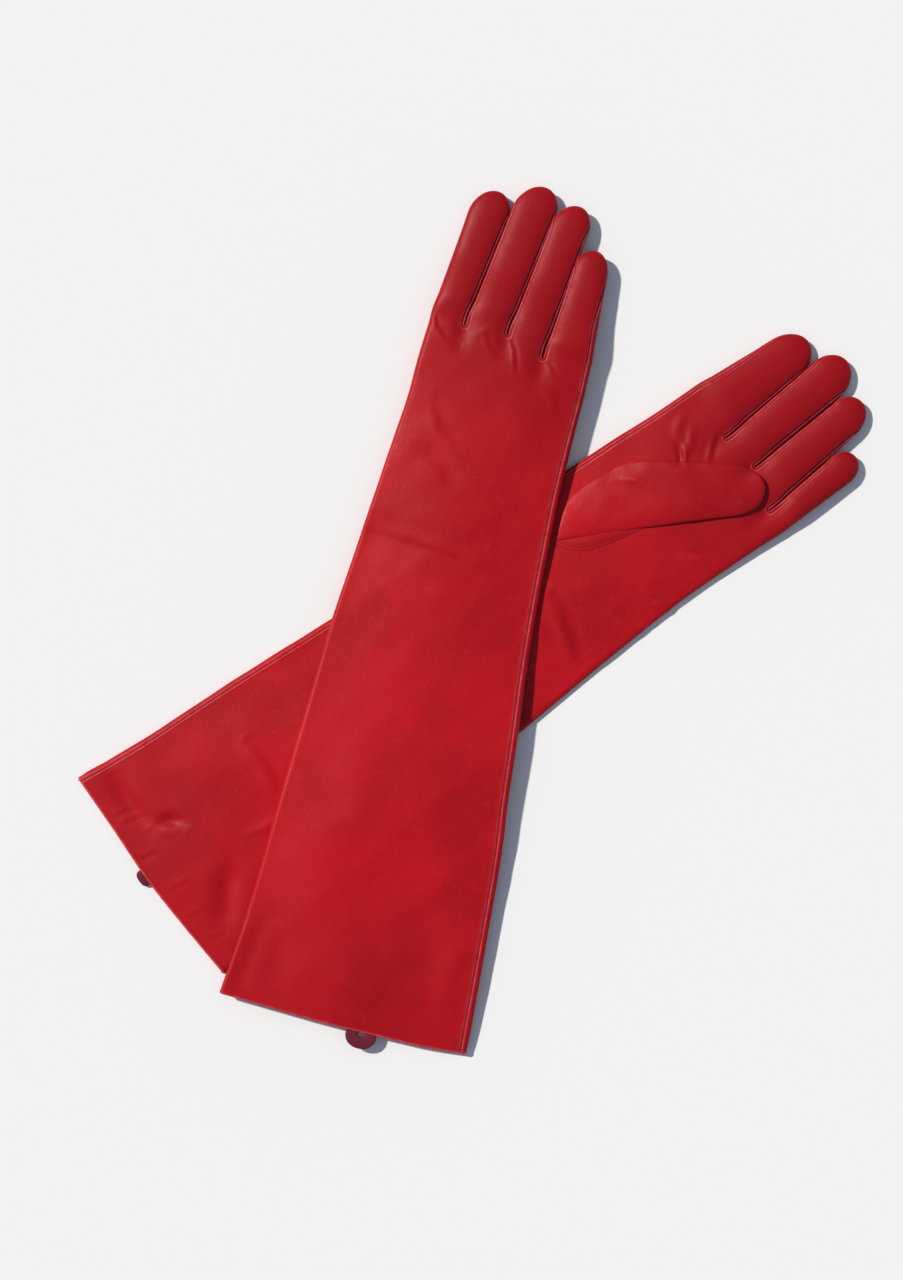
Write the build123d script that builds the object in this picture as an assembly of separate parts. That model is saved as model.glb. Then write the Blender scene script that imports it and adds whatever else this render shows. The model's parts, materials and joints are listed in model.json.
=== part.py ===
from build123d import *

"""A pair of elbow-length leather gloves lying crossed on a flat surface.

The left glove lies palm up. The right glove lies over its sleeve, back up, its thumb folded under its palm.
Distances along a glove run from its cuff to its fingertips. Distances across it run from its middle line,
positive towards the little finger. Lengths are in millimetres and angles in degrees.
"""

import os
from dataclasses import dataclass
from math import asin, atan2, cos, degrees, radians, sin

# Leather, lining and seams
LEATHER = 0.8
LINING = 0.4
FIT = 0.05  # gap between the leather and what lines it
HEM_WIDTH = 15.0
HEM_LEATHER = 0.7
SEAM_INSET = 6.5  # from a glove's edge to the side seam
SEAM_WIDTH = 0.6
SEAM_PROUD = 0.3

# Finger stalls
FINGER_HEIGHT = 9.0
FOLD_GAP = 0.3  # between a finger's root and the part that folds
TIP_ROUNDING = 0.46  # of the finger's width at its tip
TIP_LENGTH = 11.0  # the rounded end, where back and palm leather meet
FINGERS_APART = 1.0
CROTCH = 1.2  # thickness of the fourchettes' joined ends
STALL_OVERRUN = 10.0  # how far an outline is drawn past the roots before it is cut there
FAR = 300.0  # longer and wider than any finger

# Thumbs. The outline is for the left glove, whose finger roots are at LEFT.roots.
THUMB_HEIGHT = 7.2
THUMB_OUTLINE = [(296, -17), (396, 30), (409, 12), (353, -28.5), (311, -32)]
THUMB_ROUNDING = [6, 10, 10, 25, 6]
THUMB_WALL_ENDS = [0, 318, 395, 500]  # where its side walls are parted, along the glove
THUMB_PIVOT = (333, -16)
THUMB_CLEARANCE = 0.3
COLLAR_RADIUS = 9.5
COLLAR_LEATHER = 1.0
COLLAR_PROUD = 0.5
GUSSET_HALF = 11.5  # half the side of the square gusset in the palm
PALM_RISE = 0.8  # the most that the palm rises over the gusset

# Hanging loops
TAPE = 1.0
TAPE_WIDTH = 3.6
LOOP_ANCHOR = 12.0  # length of tape sewn inside the hem
LOOP_FIT = 0.3  # between the tape and the hem
LOOP_STEM = 1.9  # how far the anchored ends stand out of the cuff, so that the loop can turn up clear of it
LOOP_GAP = LOOP_STEM + 0.3  # where the part that turns begins
LOOP_ROUNDING = 0.45  # of the loop's width, at its outer corners

FINGERS = ["index", "middle", "ring", "little"]


@dataclass
class Station:
    """A cross-section of the sleeve: its place, half widths, thickness, and how high each edge lies."""

    along: float
    radial: float
    ulnar: float
    thickness: float
    radial_lift: float = 0.0
    ulnar_lift: float = 0.0


@dataclass
class Glove:
    """One glove. Its finger edges are the lines between fingers, as offsets at the roots and at the tips."""

    name: str
    cuff: tuple
    heading: float
    back_up: bool
    stations: list
    finger_edges: list
    finger_tips: list
    finger_folds: list
    thumb_base: float
    loop_offset: float
    loop_width: float
    loop_reach: float

    @property
    def roots(self):
        return self.stations[-1].along


CROSSING_LIFT = 9.4  # the right glove's underside, above the left glove
HAND_LIFT = 8.0  # the same, above its own thumb

LEFT = Glove(
    name="left",
    cuff=(-179.9, -145.3),
    heading=36.4,
    back_up=False,
    stations=[
        Station(0, 67, 68, 8.0),
        Station(120, 59.5, 62.5, 8.0),
        Station(220, 54, 57.5, 8.0),
        Station(300, 47.5, 53, 8.3),
        Station(350, 43.2, 52.6, 8.6),
        Station(400, 41, 57, 9.0),
    ],
    finger_edges=[(-41, -34), (-8, -14.5), (17, 12), (40, 38.5), (57, 54)],
    finger_tips=[470, 480, 474, 452],
    finger_folds=[424, 427, 425, 418],
    thumb_base=9.3,
    loop_offset=-4.0,
    loop_width=14.0,
    loop_reach=6.5,
)

RIGHT = Glove(
    name="right",
    cuff=(-70.2, -226.0),
    heading=76.9,
    back_up=True,
    stations=[
        Station(0, 73, 68, 8.0, CROSSING_LIFT - 0.4, 2.0),
        Station(60, 68.8, 65.2, 8.0, CROSSING_LIFT + 0.6, 5.5),
        Station(120, 65.5, 61.5, 8.0, CROSSING_LIFT, CROSSING_LIFT),
        Station(220, 58.5, 52.5, 8.0, CROSSING_LIFT, CROSSING_LIFT),
        Station(300, 50.7, 48.8, 8.3, HAND_LIFT, CROSSING_LIFT),
        Station(350, 46.5, 49.3, 8.6, HAND_LIFT, HAND_LIFT),
        Station(392, 44, 49.2, 9.0, HAND_LIFT, HAND_LIFT),
    ],
    finger_edges=[(-44, -34), (-22.5, -15.5), (2.2, 12.4), (25, 32), (49.2, 46)],
    finger_tips=[468, 478, 472, 450],
    finger_folds=[415, 418, 416, 409],
    thumb_base=0.0,
    loop_offset=8.0,
    loop_width=17.5,
    loop_reach=10.0,
)

GLOVES = [LEFT, RIGHT]


def along_axis(glove):
    """Unit vector from the cuff to the fingers."""
    return Vector(cos(radians(glove.heading)), sin(radians(glove.heading)), 0)


def across_axis(glove):
    """Unit vector towards the little finger."""
    return Vector(sin(radians(glove.heading)), -cos(radians(glove.heading)), 0)


def point(glove, along, across, height):
    """A point of the row frame from distances along and across a glove and a height above the surface."""
    flat = Vector(*glove.cuff, height)
    return flat + along_axis(glove) * along + across_axis(glove) * across


def station_at(glove, along):
    """The cross-section at any distance from the cuff, straight between the listed ones."""
    before = max((s for s in glove.stations if s.along <= along), key=lambda s: s.along)
    after = min((s for s in glove.stations if s.along >= along), key=lambda s: s.along)
    if before is after:
        return before
    share = (along - before.along) / (after.along - before.along)
    names = ["radial", "ulnar", "thickness", "radial_lift", "ulnar_lift"]
    mixed = [getattr(before, n) * (1 - share) + getattr(after, n) * share for n in names]
    return Station(along, *mixed)


def stations_between(glove, start, end):
    """The cross-sections from start to end, with the listed ones in between."""
    inner = [s for s in glove.stations if start < s.along < end]
    return [station_at(glove, start), *inner, station_at(glove, end)]


def section_plane(glove, station):
    """A plane across the glove: X towards the little finger, Y up, and its origin under the middle line."""
    rise = station.ulnar_lift - station.radial_lift
    width = station.radial + station.ulnar
    tilt = atan2(rise, width)
    height = station.radial_lift + rise * station.radial / width
    x_dir = across_axis(glove) * cos(tilt) + Vector(0, 0, sin(tilt))
    return Plane(point(glove, station.along, 0, height), x_dir=x_dir, z_dir=-along_axis(glove))


def flipped(glove, part, station, y):
    """Height y in a section, measured from the palm for the back panel and from the back for the palm."""
    on_top = (part == "back") == glove.back_up
    return y if on_top else station.thickness - y


def skin(glove, outline, start, end):
    """Solids from each cross-section to the next. outline gives a section's closed wire."""
    stations = stations_between(glove, start, end)
    faces = [section_plane(glove, station) * make_face(outline(station)) for station in stations]
    return [loft(pair, ruled=True) for pair in zip(faces, faces[1:])]


def box_wire(x0, x1, y0, y1):
    return Polyline((x0, y0), (x1, y0), (x1, y1), (x0, y1), close=True)


def sheet_wire(glove, part):
    """The flat part of a panel, from its rolled edge to the side seam."""

    def wire(s):
        radius = s.thickness / 2
        seam = SEAM_INSET + SEAM_WIDTH / 2
        x0, x1 = (-s.radial + radius, s.ulnar - seam)
        if part == "palm":
            x0, x1 = (-s.radial + seam, s.ulnar - radius)
        low = flipped(glove, part, s, s.thickness - LEATHER)
        high = flipped(glove, part, s, s.thickness)
        return box_wire(x0, x1, low, high)

    return wire


def roll_wire(glove, part):
    """The panel's edge, rolled round the side of the glove and on to the seam on the other face."""

    def wire(s):
        radius = s.thickness / 2
        sign = 1 if part == "back" else -1
        edge = -s.radial if part == "back" else s.ulnar
        start = edge + sign * radius
        lip = edge + sign * (SEAM_INSET - SEAM_WIDTH / 2)
        y = [flipped(glove, part, s, h) for h in (s.thickness, radius, 0, LEATHER, s.thickness - LEATHER)]
        outer = ThreePointArc((start, y[0]), (edge, y[1]), (start, y[2]))
        inner = ThreePointArc((start, y[3]), (edge + sign * LEATHER, y[1]), (start, y[4]))
        return [
            outer,
            Polyline((start, y[2]), (lip, y[2]), (lip, y[3]), (start, y[3])),
            inner,
            Line((start, y[4]), (start, y[0])),
        ]

    return wire


def seam_wire(glove, part):
    """The ridge where the panel's edge is sewn to the other panel. On the underside it is pressed flat."""
    proud = SEAM_PROUD if (part == "back") == glove.back_up else 0

    def wire(s):
        middle = s.ulnar - SEAM_INSET if part == "back" else -s.radial + SEAM_INSET
        low = flipped(glove, part, s, s.thickness - LEATHER)
        high = flipped(glove, part, s, s.thickness + proud)
        return box_wire(middle - SEAM_WIDTH / 2, middle + SEAM_WIDTH / 2, low, high)

    return wire


def side_seams(glove):
    """Both ridges, from the cuff to the finger roots."""
    wires = [seam_wire(glove, part) for part in ("back", "palm")]
    return [ridge for wire in wires for ridge in skin(glove, wire, 0, glove.roots)]


def oval_wire(inset):
    """A closed line round the inside of the glove, that far in from its surface."""

    def wire(s):
        radius = s.thickness / 2
        x0, x1 = -s.radial + radius, s.ulnar - radius
        low, high = inset, s.thickness - inset
        return [
            Line((x0, low), (x1, low)),
            ThreePointArc((x1, low), (s.ulnar - inset, radius), (x1, high)),
            Line((x1, high), (x0, high)),
            ThreePointArc((x0, high), (-s.radial + inset, radius), (x0, low)),
        ]

    return wire


def sleeve_tube(glove, inset, thickness, start, end):
    """A tube inside the sleeve and hand, open at both ends."""
    outer = skin(glove, oval_wire(inset), start, end)
    inner = skin(glove, oval_wire(inset + thickness), start, end)
    return [whole - hollow for whole, hollow in zip(outer, inner)]


# Finger stalls are worked out on a plane at the finger roots: X to the tips, Y towards the thumb, Z up.


def finger_plane(glove):
    origin = point(glove, glove.roots, 0, glove.stations[-1].radial_lift)
    return Plane(origin, x_dir=along_axis(glove), z_dir=(0, 0, 1))


def folding_place(glove, finger):
    """Where the finger lies past its fold: it slopes down until its tip meets the surface."""
    fold = fold_place(glove, finger)
    slope = asin(glove.stations[-1].radial_lift / (finger_length(glove, finger) - fold))
    turn = Pos(fold, 0, 0) * Rot(0, degrees(slope), 0) * Pos(-fold, 0, 0)
    return finger_plane(glove).location * turn


def finger_outline(glove, finger, inset=0.0):
    """The finger seen from above. It runs back past the roots, so that an inset outline stays open there."""
    i = FINGERS.index(finger)
    length = glove.finger_tips[i] - glove.roots
    back = -STALL_OVERRUN
    corners = []
    for edge, side in ((glove.finger_edges[i], -1), (glove.finger_edges[i + 1], 1)):
        root, tip = (-offset + side * FINGERS_APART / 2 for offset in edge)
        corners.append((back, root + (root - tip) * -back / length))
        corners.append((length, tip))
    width = corners[1][1] - corners[3][1]
    face = make_face(Polyline(corners[0], corners[1], corners[3], corners[2], close=True))
    face = fillet(face.vertices().group_by(Axis.X)[-1], TIP_ROUNDING * width)
    return offset(face, -inset) if inset else face


def window(start, end):
    """A wide rectangle from start to end along the finger."""
    return Pos((start + end) / 2, 0) * Rectangle(end - start, FAR)


def finger_plates(glove, finger, start, end):
    """The upper and lower strips of leather of a stretch of finger."""
    strip = extrude(finger_outline(glove, finger) & window(start, end), LEATHER)
    return {"top": Pos(0, 0, FINGER_HEIGHT - LEATHER) * strip, "bottom": strip}


def finger_walls(glove, finger, start, end):
    """The side walls of a stretch of finger, the little finger's side first."""
    band = finger_outline(glove, finger) - finger_outline(glove, finger, LEATHER)
    walls = extrude(band & window(start, end), FINGER_HEIGHT - 2 * LEATHER)
    return list((Pos(0, 0, LEATHER) * walls).solids().sort_by(Axis.Y))


def finger_lining(glove, finger, start, end):
    """The lining of a stretch of finger, open towards the hand."""
    inset = LEATHER + FIT
    height = FINGER_HEIGHT - 2 * inset
    outer = extrude(finger_outline(glove, finger, inset) & window(start, end), height)
    hollow = finger_outline(glove, finger, inset + LINING) & window(start - 1, end + 1)
    inner = Pos(0, 0, LINING) * extrude(hollow, height - 2 * LINING)
    return Pos(0, 0, inset) * (outer - inner)


def fold_place(glove, finger):
    """How far past the roots the finger folds."""
    return glove.finger_folds[FINGERS.index(finger)] - glove.roots


def finger_length(glove, finger):
    return glove.finger_tips[FINGERS.index(finger)] - glove.roots


def finger_root(glove, finger):
    """The stretch of finger that stays with the hand, as its plates, walls and lining."""
    end = fold_place(glove, finger) - FOLD_GAP / 2
    return (
        finger_plates(glove, finger, 0, end),
        finger_walls(glove, finger, 0, end),
        finger_lining(glove, finger, 0, end),
    )


def crotch(glove, first, second):
    """Two fourchettes joined at the bottom of the gap between two fingers."""
    near = finger_root(glove, first)[1][0]
    far = finger_root(glove, second)[1][-1]
    across = -glove.finger_edges[FINGERS.index(second)][0]
    bridge = Box(CROTCH, FINGERS_APART + LEATHER, FINGER_HEIGHT - 2 * LEATHER)
    return near + far + Pos(CROTCH / 2, across, FINGER_HEIGHT / 2) * bridge


def folding_finger(glove, finger):
    """The stretch of finger past its fold, as its leather stall, its fourchettes and its lining."""
    start = fold_place(glove, finger) + FOLD_GAP / 2
    end = finger_length(glove, finger)
    tip = end - TIP_LENGTH
    plates = finger_plates(glove, finger, start, end)
    sides = finger_walls(glove, finger, start, tip)
    stall = [*plates.values(), *finger_walls(glove, finger, tip, end)]
    if finger == "index":
        stall.append(sides.pop())
    if finger == "little":
        stall.append(sides.pop(0))
    return stall, sides, [finger_lining(glove, finger, start, end)]


def panel(glove, part):
    """The back or palm of a glove: its sleeve and hand, its rolled edge, and its strips of the fingers."""
    sheets, rolls = (skin(glove, wire(glove, part), 0, glove.roots) for wire in (sheet_wire, roll_wire))
    if part == "palm":
        sheets = [plank for sheet in sheets for plank in around_gusset(glove, sheet)]
    solids = sheets + rolls
    level = "top" if (part == "back") == glove.back_up else "bottom"
    plane = finger_plane(glove)
    for finger in FINGERS:
        plates, walls, _ = finger_root(glove, finger)
        solids.append(plane * plates[level])
        if (part, finger) == ("back", "index"):
            solids.append(plane * walls[-1])
        if (part, finger) == ("palm", "little"):
            solids.append(plane * walls[0])
    return solids


# Thumbs


def thumb_shift(glove):
    return glove.roots - LEFT.roots


def thumb_plane(glove):
    """A plane under the thumb: X along the glove, Y towards the thumb's side, Z up."""
    origin = point(glove, thumb_shift(glove), 0, glove.thumb_base)
    return Plane(origin, x_dir=along_axis(glove), z_dir=(0, 0, 1))


def thumb_outline(inset=0.0):
    corners = [(along, -across) for along, across in THUMB_OUTLINE]
    face = make_face(Polyline(*corners, close=True))
    for corner, radius in zip(corners, THUMB_ROUNDING):
        face = fillet(face.vertices().sort_by_distance((*corner, 0))[0], radius)
    return offset(face, -inset) if inset else face


def thumb_hole(radius, low, high):
    """A cylinder on the thumb's pivot, in the thumb's plane."""
    bar = Cylinder(radius, high - low, align=(Align.CENTER, Align.CENTER, Align.MIN))
    return Pos(THUMB_PIVOT[0], -THUMB_PIVOT[1], low) * bar


def thumb(glove):
    """The thumb: its two faces, with a hole in the one towards the palm, and its walls in three stretches."""
    face = extrude(thumb_outline(), LEATHER)
    hole = thumb_hole(COLLAR_RADIUS + THUMB_CLEARANCE, -1, 1 + LEATHER)
    far = Pos(0, 0, THUMB_HEIGHT - LEATHER)
    faces = [face, far * (face - hole)] if glove.back_up else [face - hole, far * face]
    band = thumb_outline() - thumb_outline(LEATHER)
    walls = []
    for start, end in zip(THUMB_WALL_ENDS, THUMB_WALL_ENDS[1:]):
        stretch = extrude(band & window(start, end), THUMB_HEIGHT - 2 * LEATHER)
        walls += list((Pos(0, 0, LEATHER) * stretch).solids())
    plane = thumb_plane(glove)
    return [plane * piece for piece in [*faces, *walls]]


def thumb_lining(glove):
    inset = LEATHER + FIT
    height = THUMB_HEIGHT - 2 * inset
    outer = Pos(0, 0, inset) * extrude(thumb_outline(inset), height)
    hollow = extrude(thumb_outline(inset + LINING), height - 2 * LINING)
    hole = thumb_hole(COLLAR_RADIUS + THUMB_CLEARANCE, -1, THUMB_HEIGHT / 2)
    if glove.back_up:
        hole = thumb_hole(COLLAR_RADIUS + THUMB_CLEARANCE, THUMB_HEIGHT / 2, THUMB_HEIGHT + 1)
    return [thumb_plane(glove) * (outer - Pos(0, 0, inset + LINING) * hollow - hole)]


def collar_span(glove):
    """Lowest and highest point of the thumb's collar, above the thumb's underside."""
    reach = LEATHER + LINING + COLLAR_PROUD
    if glove.back_up:
        return THUMB_HEIGHT - reach, HAND_LIFT + PALM_RISE + reach
    palm = station_at(glove, THUMB_PIVOT[0]).thickness
    return palm - glove.thumb_base - reach, reach


def gusset_block(glove, x0, x1, y0, y1):
    """A tall block measured from the thumb's pivot, x along the glove and y towards the thumb's side."""
    block = Pos((x0 + x1) / 2, (y0 + y1) / 2, 0) * Box(x1 - x0, y1 - y0, FAR)
    return thumb_plane(glove) * Pos(THUMB_PIVOT[0], -THUMB_PIVOT[1], 0) * block


def around_gusset(glove, sheet):
    """A sheet as it is, or as the planks of it round the gusset."""
    half = GUSSET_HALF + FIT
    if not (sheet & gusset_block(glove, -half, half, -half, half)):
        return [sheet]
    across_whole = [(-FAR, -half, -FAR, FAR), (half, FAR, -FAR, FAR)]
    beside_gusset = [(-half, half, -FAR, -half), (-half, half, half, FAR)]
    planks = [sheet & gusset_block(glove, *block) for block in across_whole + beside_gusset]
    return [plank for plank in planks if plank]


def thumb_gusset(glove):
    """The square gusset in the palm, and the collar on it that the thumb turns round."""
    low, high = collar_span(glove)
    middle = thumb_shift(glove) + THUMB_PIVOT[0]
    sheets = skin(glove, sheet_wire(glove, "palm"), middle - GUSSET_HALF, middle + GUSSET_HALF)
    block = gusset_block(glove, -GUSSET_HALF, GUSSET_HALF, -GUSSET_HALF, GUSSET_HALF)
    collar = thumb_plane(glove) * thumb_hole(COLLAR_RADIUS, low, high)
    bore = thumb_plane(glove) * thumb_hole(COLLAR_RADIUS - COLLAR_LEATHER, low - 1, high + 1)
    return [(sheets[0] & block) + collar - bore]


def without_thumb_hole(glove, solids):
    """The same solids with a hole for the thumb's collar."""
    low, high = collar_span(glove)
    cutter = thumb_plane(glove) * thumb_hole(COLLAR_RADIUS + FIT, low, high)
    return [solid - cutter for solid in solids]


# Cuff


def hem(glove):
    """Leather turned in round the cuff."""
    return sleeve_tube(glove, LEATHER + FIT, HEM_LEATHER, 0, HEM_WIDTH)


def lining(glove):
    """The lining of the sleeve, the hand and the finger roots."""
    tube = sleeve_tube(glove, LEATHER + FIT, LINING, HEM_WIDTH + FIT, glove.roots)
    roots = [finger_plane(glove) * finger_root(glove, finger)[2] for finger in FINGERS]
    return without_thumb_hole(glove, tube) + roots


def loop_plane(glove):
    """A plane on the inside of the hem under the loop: X out of the cuff along the hem's slope, Z up."""
    height = LEATHER + FIT + HEM_LEATHER + LOOP_FIT
    section, inner = (section_plane(glove, station_at(glove, along)) for along in (0, LOOP_ANCHOR))
    origin, anchor = (plane.from_local_coords((glove.loop_offset, height, 0)) for plane in (section, inner))
    outwards = (Vector(*origin) - Vector(*anchor)).normalized()
    return Plane(origin, x_dir=outwards, z_dir=outwards.cross(section.x_dir))


def loop_legs(glove, start, end):
    """Two straight lengths of the loop's tape."""
    across = glove.loop_width / 2 - TAPE_WIDTH / 2
    leg = Box(end - start, TAPE_WIDTH, TAPE, align=(Align.MIN, Align.CENTER, Align.MIN))
    return [Pos(start, side * across, 0) * leg for side in (-1, 1)]


def loop_anchor(glove):
    """The ends of the tape, sewn to the hem."""
    return [loop_plane(glove) * leg for leg in loop_legs(glove, -LOOP_ANCHOR, LOOP_STEM)]


def hang_loop(glove):
    """The free part of the tape, a bend outside the cuff."""
    width, reach = glove.loop_width, glove.loop_reach
    rounding = min(LOOP_ROUNDING * width, 2 * LOOP_ROUNDING * reach)
    face = Pos((reach - FAR) / 2, 0) * Rectangle(reach + FAR, width)
    face = fillet(face.vertices().group_by(Axis.X)[-1], rounding)
    band = (face - offset(face, -TAPE_WIDTH)) & window(LOOP_GAP, reach)
    return [loop_plane(glove) * extrude(band, TAPE)]


def glove_nodes(glove):
    """Every node of one glove, as its name and its solids."""
    parts = {
        "back_panel": panel(glove, "back"),
        "palm_panel": panel(glove, "palm"),
        "side_seams": side_seams(glove),
        "hem": hem(glove),
        "lining": lining(glove),
        "loop_anchor": loop_anchor(glove),
        "hang_loop": hang_loop(glove),
        "thumb": thumb(glove),
        "thumb_lining": thumb_lining(glove),
        "thumb_gusset": thumb_gusset(glove),
    }
    for first, second in zip(FINGERS, FINGERS[1:]):
        parts[f"{first}_{second}_crotch"] = [finger_plane(glove) * crotch(glove, first, second)]
    for finger in FINGERS:
        place = folding_place(glove, finger)
        stall, sides, cloth = folding_finger(glove, finger)
        parts[f"{finger}_stall"] = [place * piece for piece in stall]
        parts[f"{finger}_fourchette"] = [place * piece for piece in sides]
        parts[f"{finger}_lining"] = [place * piece for piece in cloth]
    return {f"{glove.name}_{name}": solids for name, solids in parts.items()}


def main():
    os.makedirs("parts", exist_ok=True)
    everything = []
    for glove in GLOVES:
        for name, shapes in glove_nodes(glove).items():
            solids = [solid for shape in shapes for solid in shape.solids()]
            export_step(Compound(label=name, children=solids), f"parts/{name}.step")
            everything += solids
    box = Compound(children=everything).bounding_box()
    print("low", box.min, "high", box.max, "middle", box.center())


if __name__ == "__main__":
    main()
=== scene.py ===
import json
import math

import bpy
import numpy as np
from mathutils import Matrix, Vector


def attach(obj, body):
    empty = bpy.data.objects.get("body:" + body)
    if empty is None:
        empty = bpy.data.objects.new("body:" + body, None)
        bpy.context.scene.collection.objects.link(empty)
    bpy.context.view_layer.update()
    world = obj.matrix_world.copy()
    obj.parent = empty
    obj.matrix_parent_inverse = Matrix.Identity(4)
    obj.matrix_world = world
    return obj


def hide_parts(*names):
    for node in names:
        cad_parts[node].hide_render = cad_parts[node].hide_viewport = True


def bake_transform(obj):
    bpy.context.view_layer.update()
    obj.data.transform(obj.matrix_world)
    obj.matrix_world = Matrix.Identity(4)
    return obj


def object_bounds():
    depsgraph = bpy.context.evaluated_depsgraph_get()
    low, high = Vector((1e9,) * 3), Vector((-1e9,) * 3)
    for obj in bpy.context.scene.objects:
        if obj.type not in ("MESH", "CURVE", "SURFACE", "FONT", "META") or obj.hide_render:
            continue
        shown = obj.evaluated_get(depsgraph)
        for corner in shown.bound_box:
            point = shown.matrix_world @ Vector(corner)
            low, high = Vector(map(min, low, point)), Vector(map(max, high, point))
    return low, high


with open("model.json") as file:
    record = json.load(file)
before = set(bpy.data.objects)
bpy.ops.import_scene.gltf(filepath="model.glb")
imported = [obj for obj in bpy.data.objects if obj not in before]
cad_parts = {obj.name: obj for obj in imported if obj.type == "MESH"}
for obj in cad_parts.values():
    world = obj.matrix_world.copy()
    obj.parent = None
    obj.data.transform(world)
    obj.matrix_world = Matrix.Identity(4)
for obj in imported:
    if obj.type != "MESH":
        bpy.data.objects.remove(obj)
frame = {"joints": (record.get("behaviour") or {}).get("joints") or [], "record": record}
CAD_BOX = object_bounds()
MOUNTS = {mount["name"]: mount for mount in frame["record"]["mounts"]}
JOINTS = {joint["name"]: joint for joint in frame["joints"]}

# ---------------------------------------------------------------- sizes, in millimetres
MM = 0.001
FAR = 30.0  # stands for "no seam near here"
LEATHER = 0.7  # thickness of the leather
LINING = 0.3  # thickness of the lining
LINING_GAP = 0.25  # between leather and lining
EDGE_HEIGHT = 4.4  # height of a folded side edge of the sleeve
SLEEVE_CROWN = 3.1  # how far the middle of the sleeve stands above its edges
HAND_CROWN = 3.2  # and the same of the hand
CROTCH = 1.7  # half the width of the gap between two fingers
WALL_INSET = 0.96 * CROTCH  # how far the walls between two fingers bulge into the gap
FINGER_HALF_HEIGHT = 4.9  # at the root
FINGER_TIP_HALF_HEIGHT = 4.2
SECTION_POWER = 2.35  # of the fingers' rounded section
SEAM_CLOSED = 0.05  # how far a finger's two seams stay apart round its tip, as a share
RIM = 0.7  # the cuff's edge counts as this far from a seam, so it takes the painted highlight line that lies beside seams
FLOOR_GAP = 0.15  # between the gloves and the floor
HEM_DEPTH = 15.0  # of the leather turned in at the cuff
OVERLAP_LIFT = 8.5  # what the upper glove's underside clears the lower glove by
DRAPE = 175.0  # how far the upper glove takes to come down again beside it
THUMB_LIFT = 7.0  # of the upper glove, over its own thumb
THUMB_DRAPE = 44.0  # how far it takes to come down beside the thumb
FINGER_STEP = 1.3  # between rows of points
SLEEVE_STEP = 2.6
LINING_STEPS = (6.0, 4.0)  # of the lining's sleeve and fingers
FINGER_COLUMNS = 19
GAP_COLUMNS = 9
WALL_COLUMNS = 11
FINGERS = ("index", "middle", "ring", "little")


def smooth(x):
    x = np.clip(x, 0.0, 1.0)
    return x * x * (3 - 2 * x)


def lerp(a, b, t):
    return a + (b - a) * t


def bump(x, width):
    return np.exp(-((x / width) ** 2))


def spline(points, x):
    """A smooth curve through the (x, y) points, level with the last ones outside them."""
    px, py = (np.array(c, float) for c in zip(*points))
    slope = np.gradient(py, px)
    x = np.clip(x, px[0], px[-1])
    i = np.clip(np.searchsorted(px, x, side="right") - 1, 0, len(px) - 2)
    h = px[i + 1] - px[i]
    t = (x - px[i]) / h
    a, b = 2 * t**3 - 3 * t**2 + 1, t**3 - 2 * t**2 + t
    return a * py[i] + b * h * slope[i] + (1 - a) * py[i + 1] + (t**3 - t**2) * h * slope[i + 1]


def waves(u, y, seed, length, count=9):
    """A calm, uneven surface about 1 high, its bumps about `length` across."""
    draw = np.random.default_rng(seed)
    total = np.zeros_like(u)
    for _ in range(count):
        angle, phase = draw.uniform(0, math.tau, 2)
        reach = length * draw.uniform(0.7, 1.7)
        total += np.sin(math.tau * (u * math.cos(angle) + y * math.sin(angle)) / reach + phase)
    return total / math.sqrt(count)


def to_polyline(u, y, points):
    """Distance to a polyline, signed by its side, and how far along it from 0 to 1."""
    points = np.array(points, float)
    steps = np.linalg.norm(np.diff(points, axis=0), axis=1)
    starts = np.concatenate([[0], np.cumsum(steps)])
    best = np.full(np.shape(u), 1e9)
    side, along = np.zeros(np.shape(u)), np.zeros(np.shape(u))
    for (au, ay), (bu, by), length, start in zip(points, points[1:], steps, starts):
        t = ((u - au) * (bu - au) + (y - ay) * (by - ay)) / length**2
        inside = np.clip(t, 0, 1)
        d = np.hypot(u - lerp(au, bu, inside), y - lerp(ay, by, inside))
        cross = (bu - au) * (y - ay) - (by - ay) * (u - au)
        closer = d < best
        best = np.where(closer, d, best)
        side = np.where(closer, np.sign(cross), side)
        along = np.where(closer, (start + inside * length) / starts[-1], along)
    return best * side, along


def crease(u, y, points, depth, width, ridge=0.0, offset=0.0, spread=3.0):
    """A furrow along a polyline that fades out at both ends, and a ridge at its left side."""
    d, along = to_polyline(u, y, points)
    fade = np.sqrt(np.clip(np.sin(math.pi * np.clip(along, 0.03, 0.97)), 0, 1))
    return fade * (ridge * bump(d - offset, spread) - depth * bump(d, width))


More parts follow.
